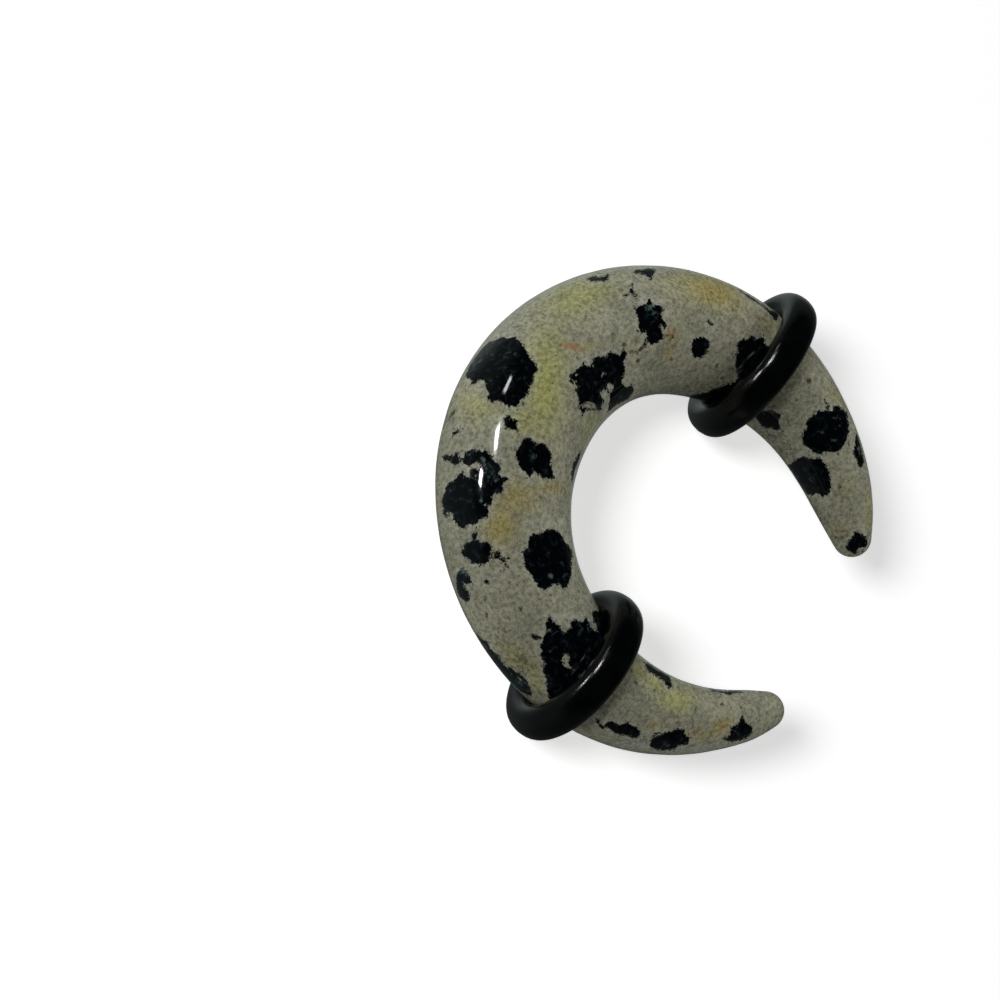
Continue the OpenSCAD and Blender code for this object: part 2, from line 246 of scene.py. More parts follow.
# Outlines of the dark spots, drawn on the chart
SPOTS = [
    [(501, 337), (508, 338), (513, 337), (520, 341), (526, 350), (530, 358), (535, 364), (537, 370), (533, 375), (533, 381), (530, 388), (526, 395), (521, 400), (518, 403), (519, 406), (513, 407), (508, 406), (504, 404), (500, 401), (497, 400), (492, 402), (488, 401), (487, 398), (489, 392), (485, 388), (486, 382), (482, 380), (478, 380), (474, 383), (471, 384), (471, 380), (467, 377), (466, 372), (469, 364), (474, 356), (480, 349), (488, 343), (496, 340)],
    [(570, 375), (574, 372), (577, 369), (579, 367), (582, 366), (583, 362), (585, 366), (590, 366), (592, 362), (595, 359), (598, 356), (601, 358), (606, 357), (609, 353), (610, 350), (613, 353), (617, 354), (620, 356), (623, 353), (623, 350), (627, 353), (626, 357), (623, 360), (625, 367), (624, 374), (622, 380), (622, 384), (625, 386), (629, 388), (632, 384), (633, 388), (634, 390), (632, 394), (629, 398), (623, 402), (617, 405), (612, 409), (609, 410), (606, 411), (600, 411), (590, 410), (585, 411), (583, 415), (581, 415), (582, 411), (579, 410), (578, 408), (579, 403), (580, 399), (577, 394), (576, 390), (579, 387), (577, 384), (571, 383)],
    [(633, 305), (636, 309), (639, 306), (643, 305), (647, 304), (648, 300), (650, 300), (652, 304), (654, 306), (657, 305), (659, 306), (661, 308), (664, 310), (661, 311), (661, 316), (663, 320), (666, 326), (665, 328), (662, 325), (660, 324), (659, 328), (660, 332), (663, 335), (662, 338), (660, 341), (656, 343), (651, 345), (648, 342), (646, 342), (645, 340), (647, 336), (646, 332), (644, 331), (643, 334), (641, 334), (640, 329), (639, 323), (639, 318), (637, 314), (635, 310)],
    [(634, 272), (638, 270), (645, 269), (652, 268), (656, 270), (653, 275), (651, 279), (649, 278), (646, 275), (641, 273), (636, 273)],
    [(587, 279), (592, 276), (598, 277), (603, 277), (608, 274), (609, 278), (606, 280), (601, 281), (597, 281), (590, 281)],
    [(504, 419), (507, 415), (511, 416), (513, 420), (518, 421), (516, 424), (515, 427), (519, 430), (517, 431), (513, 428), (510, 429), (505, 429), (505, 424)],
    [(524, 439), (529, 438), (531, 440), (536, 444), (541, 443), (546, 446), (550, 450), (551, 458), (551, 465), (553, 472), (554, 478), (549, 478), (544, 478), (540, 475), (537, 472), (534, 470), (532, 474), (530, 477), (527, 474), (523, 470), (519, 467), (518, 461), (516, 456), (516, 451), (519, 447), (521, 443)],
    [(443, 457), (446, 455), (450, 456), (453, 456), (457, 453), (460, 452), (459, 457), (461, 461), (457, 464), (453, 464), (450, 461), (445, 461)],
    [(460, 461), (464, 457), (466, 452), (470, 450), (476, 450), (475, 455), (477, 458), (476, 462), (473, 464), (468, 466), (464, 464)],
    [(474, 452), (478, 450), (483, 453), (485, 449), (488, 453), (492, 456), (494, 461), (498, 464), (501, 469), (495, 474), (487, 475), (481, 476), (479, 470), (482, 465), (477, 462), (474, 458)],
    [(463, 471), (464, 476), (470, 478), (470, 470), (474, 468), (478, 470), (481, 474), (485, 470), (492, 466), (499, 464), (501, 468), (498, 474), (502, 477), (506, 476), (508, 478), (504, 482), (501, 486), (504, 490), (500, 493), (494, 494), (491, 496), (492, 500), (490, 505), (487, 506), (489, 512), (488, 518), (485, 517), (482, 518), (479, 521), (474, 525), (468, 525), (464, 528), (461, 528), (457, 524), (454, 519), (454, 513), (450, 512), (449, 516), (446, 518), (444, 516), (443, 510), (442, 504), (443, 497), (445, 492), (445, 487), (449, 484), (455, 480), (458, 476), (461, 474)],
    [(473, 532), (475, 531), (478, 534), (477, 538), (476, 541), (480, 542), (486, 543), (491, 546), (491, 552), (490, 558), (487, 562), (482, 564), (476, 564), (471, 563), (469, 559), (465, 556), (462, 554), (463, 550), (464, 547), (460, 545), (464, 544), (469, 543), (472, 541), (472, 536)],
    [(494, 558), (495, 552), (501, 550), (500, 555), (498, 559)],
    [(530, 537), (532, 534), (537, 535), (541, 534), (545, 531), (549, 529), (556, 530), (561, 534), (564, 540), (568, 545), (571, 550), (573, 555), (571, 561), (571, 567), (571, 573), (570, 578), (568, 584), (565, 588), (561, 586), (559, 583), (553, 584), (550, 587), (545, 589), (541, 588), (537, 585), (534, 579), (531, 575), (528, 571), (525, 566), (525, 561), (523, 557), (522, 551), (526, 549), (529, 547), (529, 541)],
    [(457, 575), (458, 570), (462, 568), (467, 571), (470, 578), (472, 583), (468, 583), (464, 583), (463, 587), (466, 589), (469, 594), (470, 600), (467, 602), (463, 600), (459, 596), (456, 589), (456, 583)],
    [(484, 581), (486, 579), (489, 584), (485, 584)],
    [(474, 631), (478, 636), (482, 640), (488, 642), (491, 649), (499, 657), (505, 667), (510, 668), (515, 671), (521, 675), (523, 679), (527, 682), (531, 689), (531, 696), (520, 694), (512, 690), (505, 683), (495, 672), (485, 657), (476, 640)],
    [(582, 450), (580, 452), (576, 457), (573, 466), (572, 474), (573, 481), (575, 480), (577, 472), (579, 463), (582, 456)],
    [(549, 616), (551, 618), (552, 621), (556, 624), (560, 626), (561, 630), (564, 634), (568, 631), (571, 627), (571, 623), (575, 620), (579, 622), (583, 622), (585, 618), (588, 621), (589, 625), (592, 628), (596, 632), (599, 632), (597, 626), (594, 620), (592, 614), (596, 611), (600, 612), (606, 600), (625, 610), (625, 640), (612, 668), (590, 690), (560, 705), (549, 700), (548, 698), (547, 692), (547, 686), (546, 680), (545, 675), (543, 670), (545, 666), (543, 660), (541, 655), (543, 650), (540, 647), (542, 644), (544, 640), (546, 634), (546, 628), (546, 621)],
    [(532, 636), (534, 635), (537, 636.5), (541, 637), (541, 639), (535, 640)],
    [(695, 338), (700, 337), (704, 338), (709, 341), (709, 347), (707, 351), (704, 355), (700, 358), (695, 357), (692, 352), (691, 346), (692, 341)],
    # The lower-left part of this outline, next to the upper ring, is partly painted shade: it also blacks out stone
    # that lies in the ring's shade.
    [(735, 356), (739, 350), (737, 346), (740, 341), (743, 339), (748, 339), (750, 335), (755, 337), (757, 339), (760, 339), (763, 337), (765, 339), (764, 343), (766, 346), (769, 347), (785, 350), (775, 372), (762, 402), (736, 410), (722, 410), (706, 408), (692, 404), (690, 399), (695, 396), (704, 393), (711, 391), (718, 388), (726, 386), (732, 384), (736, 382), (738, 378), (737, 370), (736, 362)],
    [(771, 309), (775, 311), (779, 312), (783, 316), (778, 317), (776, 320), (773, 317), (771, 314)],
    [(757, 412), (764, 410), (770, 411), (775, 412), (780, 415), (779, 421), (779, 425), (782, 431), (776, 430), (772, 428), (767, 428), (762, 426), (759, 421), (755, 416)],
    [(804, 432), (807, 428), (806, 424), (808, 420), (812, 416), (817, 413), (819, 409), (822, 411), (826, 411), (830, 411), (833, 410), (834, 407), (837, 406), (840, 407), (843, 410), (846, 412), (847, 416), (848, 420), (849, 426), (848, 432), (847, 438), (845, 443), (842, 447), (840, 450), (834, 452), (828, 452), (824, 451), (820, 454), (816, 453), (812, 450), (808, 447), (805, 445), (802, 440), (804, 435)],
    [(791, 464), (796, 460), (801, 457), (806, 458), (811, 459), (816, 458), (820, 458), (824, 463), (827, 468), (829, 474), (831, 478), (831, 486), (830, 492), (829, 495), (825, 494), (823, 497), (819, 494), (815, 493), (812, 496), (806, 494), (798, 484), (790, 472), (787, 465)],
    [(857, 434), (860, 442), (862, 452), (864, 461), (862, 468), (859, 466), (856, 458), (853, 452), (855, 446), (855, 440)],
    [(853, 535), (855, 531), (857, 533), (860, 534), (864, 536), (866, 536), (866, 541), (867, 544), (865, 547), (861, 547), (858, 549), (857, 552), (855, 554), (851, 552), (848, 550), (846, 547), (848, 544), (849, 540), (851, 539), (852, 537)],
    [(645, 663), (650, 663), (657, 667), (664, 672), (669, 677), (672, 686), (669, 688), (666, 685), (664, 681), (658, 677), (652, 673), (648, 670), (646, 667)],
    [(606, 723), (611, 721), (617, 724), (622, 725), (626, 722), (631, 725), (636, 728), (640, 731), (640, 735), (637, 738), (633, 737), (629, 736), (625, 734), (622, 735), (617, 734), (613, 731), (608, 728), (605, 727)],
    [(596, 719), (599, 720), (598, 723), (596.5, 722)],
    [(651, 741), (655, 738), (658, 736), (660, 735), (665, 734), (670, 732), (674, 730), (680, 729), (684, 730), (684, 734), (686, 736), (691, 736), (689, 741), (686, 744), (680, 746), (675, 748), (668, 750), (660, 750), (655, 749), (651, 746)],
    [(742, 716), (744, 720), (748, 724), (752, 728), (751, 733), (748, 737), (742, 740), (735, 741), (728, 741), (724, 739), (727, 737), (730, 734), (731, 729), (735, 726), (739, 724), (741, 720)],
]
# Pale islands left inside the spots
ISLANDS = [
    [(575, 372), (577, 372), (580, 377), (577, 376)],
    [(572, 381), (574, 380), (577, 381), (576, 383), (573, 383)],
    [(601, 372), (605, 371), (607, 373), (604, 375), (602, 377)],
    [(607, 384), (610, 383), (614, 385), (613, 391), (610, 393), (607, 389)],
    [(601, 391), (604, 389), (607, 390), (609, 394), (610, 400), (608, 413), (598, 415), (601, 408), (603, 401), (601, 396)],
    [(582, 405), (586, 402), (590, 401), (593, 403), (597, 406), (597, 408), (590, 409), (584, 408)],
    [(592, 363), (594, 362), (595, 366), (593, 367)],
    [(474, 479), (477, 474), (478, 475), (476, 480)],
    [(482, 505), (485, 503), (488, 504), (486, 506)],
    [(446, 514), (449, 512), (450, 514), (448, 516)],
    [(561, 656), (566, 654), (570, 655), (570, 660), (568, 664), (572, 668), (573, 670), (570, 669), (565, 666), (563, 662)],
    [(549, 629), (551, 629), (551, 633), (549, 632)],
]
# Thin cracks and threads: points, half width
THREADS = [
    ([(632.5, 285), (632, 290), (628, 294), (624, 296)], 1.15),
    ([(631, 291), (634, 294), (637, 298)], .9),
    ([(646, 340), (645, 344), (640, 350)], 1.1),
    ([(742, 290), (750, 297), (760, 303), (768, 309)], 1.1),
    ([(764, 304), (770, 313)], .55),
    ([(712, 690), (720, 691.5), (731, 693.5)], 1.0),
    ([(728, 692), (741, 692)], .95),
    ([(596, 719), (599, 724), (601, 727), (605, 727)], .6),
    ([(653, 737), (656, 734), (659, 733)], .8),
    ([(825, 400), (827, 404), (828, 409)], 1.0),
    ([(708, 321), (709.5, 323), (711.5, 325)], .9),
    ([(453.5, 434), (455.5, 433), (458, 431)], 1.4),
    ([(501, 556), (504, 561), (508, 559)], .9),
    ([(504, 561), (507, 566)], 1.0),
    ([(501, 562), (500, 568), (499, 573)], .45),
]
# Brown and olive flecks: x, y, half width, half height, turn in degrees
FLECKS = [
    (452.5, 413.5, 1.6, 6, 38), (504, 561, 2.8, 1.4, 10), (507, 566, 2, 1.2, 30), (486.5, 615, 1.5, 3, 0), (521, 609, 1.8, 2.8, 0),
    (671, 359, 2, 1.6, 0), (633, 351.5, 3.2, 1.2, -5), (637.5, 353, 1.6, 1.6, 0), (643, 347, 1, 3.4, 42), (667, 335.5, 4, 1.1, 0),
    (672.5, 337, 1.4, 2, 0), (624.5, 345, 3, 1.8, 0), (638, 361, 2, 2, 0), (809, 381, 3, 2.4, 0), (796.5, 400, 1.6, 1.5, 0),
    (862.5, 551, 1.6, 1.2, 0), (590, 404.5, 3, 1.2, 20), (717, 366, 1.4, 2.4, 25), (722, 378, 1.6, 1.4, 0), (849, 445, .9, 3.4, -12),
    (814.5, 412, 1.5, 1.3, 0), (485, 599, 1.2, 3.2, 10), (541, 497, 1.8, 1.2, 0), (500, 461, 1.5, 1.2, 0), (838, 454, 1.6, 1.4, 0),
    (741, 708, 1.2, 1.2, 0), (636, 683, 1.1, 2.2, -35), (655, 691, 1.4, 1.4, 0), (722, 704, 1.6, 1.6, 0), (840, 487, 2.2, 1.6, 0),
    (578, 358, 2.2, 1.6, 30), (523, 404, 2.4, 1.6, -30),
]
# Zones where a spot is thin and its teal-grey shows; the first six, on the upper-left spot, are partly a painted sheen
# of soft reflection: x, y, half width, half height, turn, strength
VEILS_AND_SHEEN = [
    (508, 353, 6, 4, 0, .55), (519, 353, 9, 5, -30, .35), (496, 378, 7, 12, 0, .3), (490, 350, 8, 8, 0, .35), (476, 362, 7, 12, 25, .55),
    (519, 385, 7, 8, 0, .25), (489, 467, 12, 8, 15, .62), (481, 459, 8, 6, 0, .6), (492, 480, 9, 8, 0, .6), (448, 513, 4, 4, 0, .9),
    (451, 492, 3, 4, 0, .4), (481, 497, 4, 9, 0, .6), (468, 471, 6, 4, 0, .6), (470, 457, 5, 5, 0, .4), (451, 459, 5, 4, 0, .3),
    (618, 394, 9, 7, -40, .25), (586, 377, 6, 5, 0, .4), (588, 405, 9, 4, 0, .8), (648, 307, 7, 4, 0, .7), (642, 302, 5, 3, 0, .8),
    (654, 314, 7, 5, 0, .45), (653, 323, 5, 6, 0, .3), (535, 456, 7, 7, 0, .35), (551, 576, 4, 4, 0, 1), (565, 575, 4, 5, 0, .55),
    (559, 562, 4, 9, 0, .35), (480, 552, 4, 3, 0, .4), (463, 572, 6, 5, 0, .75), (464, 590, 3, 5, 0, .3), (520, 682, 11, 6, 40, .7),
    (488, 650, 5, 12, -38, .5), (565, 628, 8, 8, 0, .9), (580, 630, 9, 6, 0, .45), (551, 651, 3, 3, 0, .5), (835, 419, 6, 5, 0, .4),
    (838, 431, 6, 4, 0, .4), (820, 431, 5, 4, 0, .35), (832, 442, 5, 4, 0, .4), (806, 474, 6, 4, 0, .4), (812, 485, 6, 4, 0, .2),
    (859, 450, 3, 8, -8, .7), (663, 746, 12, 5, 0, .35), (742, 737, 9, 4, 0, .35), (737, 732, 6, 5, 0, .4), (641, 270, 5, 2.5, 0, .4),
    (598, 277, 8, 2, 0, .2), (658, 669, 10, 2.5, 35, .9), (764, 414, 5, 3, 0, .6), (755, 339, 5, 3, 0, .5),
]
YELLOW = [
    (545, 385, 21, 60, 4, 1), (531, 348, 10, 14, 0, .5), (522, 422, 22, 16, 0, .8), (580, 300, 34, 20, -18, .85), (560, 302, 28, 12, -20, .45),
    (478, 408, 22, 14, 20, .6), (655, 683, 14, 9, 40, .8), (676, 700, 18, 13, 15, .85), (640, 670, 7, 9, 0, .6), (518, 662, 24, 13, 40, .45),
    (536, 680, 8, 18, 0, .6), (838, 396, 10, 9, 0, .45), (868, 512, 5, 22, 0, .5), (590, 420, 14, 16, 0, .3), (700, 298, 30, 8, 10, .4),
    (500, 415, 10, 8, 0, .4), (770, 330, 8, 12, 20, .3), (680, 283, 26, 8, 5, .35), (468, 492, 1, 1, 0, 0),
]
OCHRE = [
    (714, 291, 32, 15, 22, 1), (736, 303, 12, 8, 20, .5), (699, 282, 16, 6, 10, .5), (500, 526, 17, 24, 20, 1), (516, 498, 22, 18, 0, .8),
    (548, 487, 20, 8, 0, .75), (722, 727, 13, 9, -30, .8), (700, 735, 18, 7, 0, .5), (671, 335, 7, 12, 0, .6), (585, 347, 18, 6, -5, .4),
    (640, 347, 14, 8, 0, .3), (668, 355, 6, 7, 0, .6), (515, 655, 22, 9, 35, .35), (640, 672, 6, 8, 0, .4), (765, 318, 9, 12, 20, .35),
    (845, 490, 12, 10, 0, .3), (838, 530, 8, 8, 0, .35), (655, 728, 9, 6, 0, .4), (497, 404, 7, 3, 0, .4),
]
RUST = [
    (571, 346, 8, 3.2, 5, 1), (563, 344, 4, 2.4, 0, .8), (580, 349, 5, 2.2, 10, .7), (653, 724, 4.5, 2, -40, .8), (723, 726, 3.4, 3.2, 0, .8), (694, 732, 3.4, 3, 0, .6), (672, 334, 4, 3.4, 0, .8),
    (668, 352, 2.4, 4.4, 0, .7), (507, 563, 4, 4, 0, .6), (491, 404, 5, 2, 0, .9), (632, 366, 3, 3, 0, .4), (838, 531, 4, 2, 0, .4),
    (588, 405, 6, 3, 0, .5), (640, 328, 1, 1, 0, 0), (634, 352, 5, 3, 0, .5), (535, 605, 6, 3, 0, .3),
]
# Painted shade: zones made darker where the stone lies in shade, mostly by the rings and along the upper arm's side
# that faces into the C: x, y, half width, half height, turn, strength
PAINTED_SHADE = [
    (772, 432, 15, 16, 0, .55), (785, 452, 12, 16, -30, .6), (800, 480, 9, 22, -28, .6), (815, 512, 9, 26, -28, .6), (836, 540, 10, 10, 0, .3),
    (705, 392, 32, 9, -8, .5), (520, 668, 24, 20, 40, .55), (505, 640, 12, 16, 0, .25), (584, 392, 8, 24, 25, .2), (612, 300, 14, 14, 0, .12),
    (760, 330, 9, 12, 20, .3), (735, 372, 8, 20, 0, .3),
]
PALE = [
    (640, 747, 26, 6, 8, .8), (700, 750, 34, 6, -6, .8), (500, 425, 12, 16, 0, .5), (492, 440, 12, 10, 0, .4), (540, 480, 14, 8, 0, .4),
    (587, 359, 5, 4, 0, .8), (603, 353, 6, 4, 0, .7), (645, 300, 12, 4, 0, .7), (641, 311, 3, 4, 0, .6), (570, 618, 20, 6, 0, .6),
    (594, 622, 5, 10, -25, .9), (607, 398, 5, 12, 0, .7), (812, 455, 14, 3, 10, .6), (818, 411, 5, 4, 0, .6), (543, 642, 6, 4, 0, .7),
    (550, 522, 30, 4, 0, .4), (566, 522, 8, 10, 0, .4), (470, 470, 5, 3, 0, .6), (703, 335, 6, 3, 0, .4), (768, 341, 4, 7, 0, .7),
    (545, 640, 4, 3, 0, .6), (852, 443, 4, 9, 0, .5), (600, 313, 30, 16, 0, .3), (768, 419, 3, 3, 0, 0), (756, 420, 4, 4, 0, .7),
    (498, 460, 5, 4, 0, .8), (640, 741, 8, 4, 0, .4),
]

FAR = 1.5


def outline_gap(p, outline):
    """Distance of chart points to an outline, in pixels, below zero inside."""
    outline = np.asarray(outline, float)
    lo, hi = outline.min(0) - 26, outline.max(0) + 26
    near = np.flatnonzero(((p > lo) & (p < hi)).all(1))
    out = np.full(len(p), 26.0)
    q = p[near]
    d2, inside = np.full(len(q), 1e9), np.zeros(len(q), bool)
    for a, b in zip(outline, np.roll(outline, -1, 0)):
        e, w = b - a, q - a
        t = np.clip((w @ e) / (e @ e), 0, 1)
        d2 = np.minimum(d2, ((w - t[:, None] * e) ** 2).sum(1))
        if a[1] != b[1]:
            cross = ((a[1] > q[:, 1]) != (b[1] > q[:, 1])) & (q[:, 0] < (b[0] - a[0]) * (q[:, 1] - a[1]) / (b[1] - a[1]) + a[0])
            inside ^= cross
    out[near] = np.sqrt(d2) * np.where(inside, -1, 1)
    return out


def thread_gap(p, points, half):
    out = np.full(len(p), 26.0)
    pts = np.asarray(points, float)
    for a, b in zip(pts[:-1], pts[1:]):
        e, w = b - a, p - a
        t = np.clip((w @ e) / (e @ e), 0, 1)
        out = np.minimum(out, np.sqrt(((w - t[:, None] * e) ** 2).sum(1)))
    return out - half


def ellipse_share(p, x, y, rx, ry, deg):
    """Distance from the middle of an ellipse, 1 on its edge."""
    a = math.radians(deg)
    d = p - np.array([x, y])
    s, t = d @ np.array([math.cos(a), math.sin(a)]), d @ np.array([-math.sin(a), math.cos(a)])
    return np.sqrt((s / rx) ** 2 + (t / ry) ** 2)


def soft_field(rows):
    out = np.zeros(len(chart))
    for x, y, rx, ry, deg, much in rows:
        if much:
            k = ellipse_share(chart, x, y, rx, ry, deg)
            out = np.maximum(out, much * np.clip(1.25 - .75 * k, 0, 1) ** 1.5)
    return out * np.clip((math.radians(135) - turned) / math.radians(25), 0, 1)


spot = np.full(len(chart), 26.0)
for outline in SPOTS:
    spot = np.minimum(spot, outline_gap(chart, outline))
for outline in ISLANDS:
    spot = np.maximum(spot, -outline_gap(chart, outline))
for points, half in THREADS:
    spot = np.minimum(spot, thread_gap(chart, points, half))
spot = spot * scale
spot = np.maximum(spot, (turned - math.radians(128)) * 4)
spot = np.minimum(spot, FAR)
fleck = np.full(len(chart), 26.0)
for x, y, rx, ry, deg in FLECKS:
    fleck = np.minimum(fleck, (ellipse_share(chart, x, y, rx, ry, deg) - 1) * min(rx, ry))
fleck = np.minimum(fleck * scale, FAR)
veil_and_sheen, yellow, ochre, rust, pale, painted_shade = (soft_field(t) for t in (VEILS_AND_SHEEN, YELLOW, OCHRE, RUST, PALE, PAINTED_SHADE))

# The sides that the front view doesn't show get spots of the same sizes and spacing
rng = np.random.default_rng(23)
hidden = np.flatnonzero(turned > math.radians(97))
weight = np.repeat(ring_r, SIDES)
weight = np.concatenate([weight, [0, 0]])[hidden]
weight = weight / weight.sum()
front_spot = spot.copy()
made = []
for radius, count, room in ((1.55, 5, 1.0), (1.15, 9, .8), (.8, 10, .65), (.5, 12, .5), (.26, 14, .4), (.14, 22, .3)):
    done = 0
    for _ in range(400):
        if done == count:
            break
        k = rng.choice(hidden, p=weight)
        size = radius * rng.uniform(.8, 1.2)
        at = stone_p[k]
        body = ring_r[min(k // SIDES, COUNT - 1)]
        if size > .75 * body or front_spot[k] < min(size + room * .6, FAR * .9):
            continue
        if turned[k] < math.radians(93) + size / max(body, .5):
            continue
        if any(np.linalg.norm(at - m) < size + s + room * .7 for m, s in made):
            continue
        made.append((at, size))
        done += 1
for at, size in made:
    near = np.flatnonzero(((stone_p - at) ** 2).sum(1) < (size * 2.2 + .6) ** 2)
    n = stone_n[near[((stone_p[near] - at) ** 2).sum(1).argmin()]]
    s1 = unit(np.cross(n, [.3, .5, .8]))
    s2 = np.cross(n, s1)
    here = np.full(len(near), FAR)
    lobes = 3 + int(size * 4)
    for j in range(lobes):
        a = rng.uniform(0, 2 * math.pi)
        off = size * rng.uniform(.15, .62)
        lobe = size * rng.uniform(.36, .62)
        c = at + off * (math.cos(a) * s1 + math.sin(a) * s2)
        here = np.minimum(here, np.linalg.norm(stone_p[near] - c, axis=1) - lobe)
    spot[near] = np.minimum(spot[near], here)


def cloud(field, count, sizes, low, seed):
    """Soft patches of tint over the hidden sides."""
    r = np.random.default_rng(seed)
    for k in r.choice(hidden, size=count, p=weight):
        size, much = r.uniform(*sizes), r.uniform(low, 1)
        d = np.linalg.norm((stone_p - stone_p[k]) * r.uniform(.7, 1.3, 3), axis=1) / size
        field[:] = np.maximum(field, much * np.clip(1.25 - .75 * d, 0, 1) ** 1.5 * np.clip((turned - math.radians(85)) / math.radians(25), 0, 1))


cloud(yellow, 9, (1.2, 2.6), .4, 5)
cloud(ochre, 7, (1.0, 2.2), .4, 6)
cloud(rust, 7, (.25, .5), .5, 7)
cloud(pale, 10, (.6, 1.4), .3, 8)
cloud(veil_and_sheen, 14, (.3, .6), .4, 9)

# ---------------------------------------------------------------- meshes


def new_mesh(name, points, faces, smooth=True):
    mesh = bpy.data.meshes.new(name)
    mesh.from_pydata((points * MM).tolist(), [], faces)
    mesh.polygons.foreach_set("use_smooth", [smooth] * len(mesh.polygons))
    mesh.update()
    o = bpy.data.objects.new(name, mesh)
    bpy.context.scene.collection.objects.link(o)
    return o


def give(o, name, values):
    at = o.data.attributes.new(name, "FLOAT", "POINT")
    at.data.foreach_set("value", np.asarray(values, np.float32))


def give_vector(o, name, values):
    at = o.data.attributes.new(name, "FLOAT_VECTOR", "POINT")
    at.data.foreach_set("vector", np.asarray(values, np.float32).reshape(-1))


ii, jj = np.meshgrid(np.arange(COUNT - 1), np.arange(SIDES), indexing="ij")
jn = (jj + 1) % SIDES
quads = np.stack([ii * SIDES + jj, (ii + 1) * SIDES + jj, (ii + 1) * SIDES + jn, ii * SIDES + jn], -1).reshape(-1, 4)
low_pole, high_pole = COUNT * SIDES, COUNT * SIDES + 1
j = np.arange(SIDES)
fan_lo = np.stack([np.full(SIDES, low_pole), j, (j + 1) % SIDES], -1)
fan_hi = np.stack([np.full(SIDES, high_pole), (COUNT - 1) * SIDES + (j + 1) % SIDES, (COUNT - 1) * SIDES + j], -1)
stone = new_mesh("polished_stone", row_p, fan_lo.tolist() + quads.tolist() + fan_hi.tolist())
give_vector(stone, "place", stone_p)
for name, values in (("spot", spot), ("fleck", fleck), ("veil_and_sheen", veil_and_sheen), ("yellow", yellow), ("ochre", ochre), ("rust", rust), ("pale", pale), ("painted_shade", painted_shade)):
    give(stone, name, values)

# One map for the whole skin: along the stone one way and round it the other
span = np.concatenate([[0], np.cumsum(np.linalg.norm(np.diff(ring_c + 0 * ring_c, axis=0), axis=1) + np.abs(np.diff(ring_r)))])
reach_lo, reach_hi = ring_r[0], ring_r[-1]
span = (span + reach_lo) / (span[-1] + reach_lo + reach_hi) * .996 + .002


def uv_of(ring, step):
    return (span[ring], .002 + .996 * step / SIDES)


uv = stone.data.uv_layers.new(name="OFBake")
coords = []
for k in range(SIDES):
    coords += [(.002, .002 + .996 * (k + .5) / SIDES), uv_of(0, k), uv_of(0, k + 1)]
qa, qj = quads[:, 0] // SIDES, quads[:, 0] % SIDES
quad_uv = np.empty((len(quads), 4, 2))
quad_uv[:, 0] = np.stack([span[qa], .002 + .996 * qj / SIDES], -1)
quad_uv[:, 1] = np.stack([span[qa + 1], .002 + .996 * qj / SIDES], -1)
quad_uv[:, 2] = np.stack([span[qa + 1], .002 + .996 * (qj + 1) / SIDES], -1)
quad_uv[:, 3] = np.stack([span[qa], .002 + .996 * (qj + 1) / SIDES], -1)
tail = []
for k in range(SIDES):
    tail += [(.998, .002 + .996 * (k + .5) / SIDES), uv_of(COUNT - 1, k + 1), uv_of(COUNT - 1, k)]
flat = np.concatenate([np.array(coords).reshape(-1), quad_uv.reshape(-1), np.array(tail).reshape(-1)])
uv.data.foreach_set("uv", flat.astype(np.float32))


def rubber_ring(name, place, centre, axis, outer, half_r, half_a, seed):
    """A stretched O-ring: round outside, pressed flat where it grips the stone, with the mould's fine parting line."""
    axis = unit(np.array(axis, float))
    s1 = unit(np.cross(axis, UP))
    s2 = np.cross(axis, s1)
    around, across = 300, 84
    a = 2 * math.pi * np.arange(around) / around
    b = 2 * math.pi * np.arange(across) / across
    p = 2.25
    cb, sb = np.cos(b), np.sin(b)
    sec_r = half_r * np.sign(cb) * np.abs(cb) ** (2 / p)
    sec_a = half_a * np.sign(sb) * np.abs(sb) ** (2 / p)
    line = np.exp(-(sec_a / .055) ** 2) * (cb > 0)
    r = np.random.default_rng(seed)
    wave = sum(k[0] * np.sin(k[1] * a + k[2]) for k in ((.012, 2, r.uniform(0, 6)), (.006, 3, r.uniform(0, 6)), (.004, 7, r.uniform(0, 6))))
    lift = outer - half_r + sec_r[None, :] * (1 + .012 * np.sin(3 * a + r.uniform(0, 6)))[:, None] - .016 + .016 * line[None, :]
    lift = np.minimum(lift, outer)
    shift_a = sec_a[None, :] * (1 + .015 * np.sin(2 * a + r.uniform(0, 6)))[:, None] + wave[:, None]
    radial = np.cos(a)[:, None] * s1 + np.sin(a)[:, None] * s2
    pts = centre + lift[..., None] * radial[:, None] + shift_a[..., None] * axis
    pts = pts.reshape(-1, 3)
    for _ in range(3):
        gap, way = depth_of(pts, place)
        short = np.clip(.016 - gap, 0, None)
        pts = pts + way * short[:, None]
    ia, ib = np.meshgrid(np.arange(around), np.arange(across), indexing="ij")
    ja, jb = (ia + 1) % around, (ib + 1) % across
    faces = np.stack([ia * across + ib, ja * across + ib, ja * across + jb, ia * across + jb], -1).reshape(-1, 4)
    row = to_row(pts)
    mid = row.mean(0)
    f = faces[across // 8]
    n = np.cross(row[f[1]] - row[f[0]], row[f[2]] - row[f[0]])
    core = to_row(centre + (outer - half_r) * radial[f[0] // across])
    if n @ (row[f[0]] - core) < 0:
        faces = faces[:, ::-1]
    o = new_mesh(name, row, faces.tolist())
    give_vector(o, "place", pts)
    give(o, "line", np.tile(line, around))
    m = o.data.uv_layers.new(name="OFBake")
    fa, fb = ia.reshape(-1), ib.reshape(-1)
    corner = {0: (0, 0), 1: (1, 0), 2: (1, 1), 3: (0, 1)}
    order = [0, 1, 2, 3] if faces[0, 0] == 0 else [3, 2, 1, 0]
    uvs = np.stack([np.stack([.002 + .996 * (fa + corner[k][0]) / around, .002 + .996 * (fb + corner[k][1]) / across], -1) for k in order], 1)
    m.data.foreach_set("uv", uvs.reshape(-1).astype(np.float32))
    return o


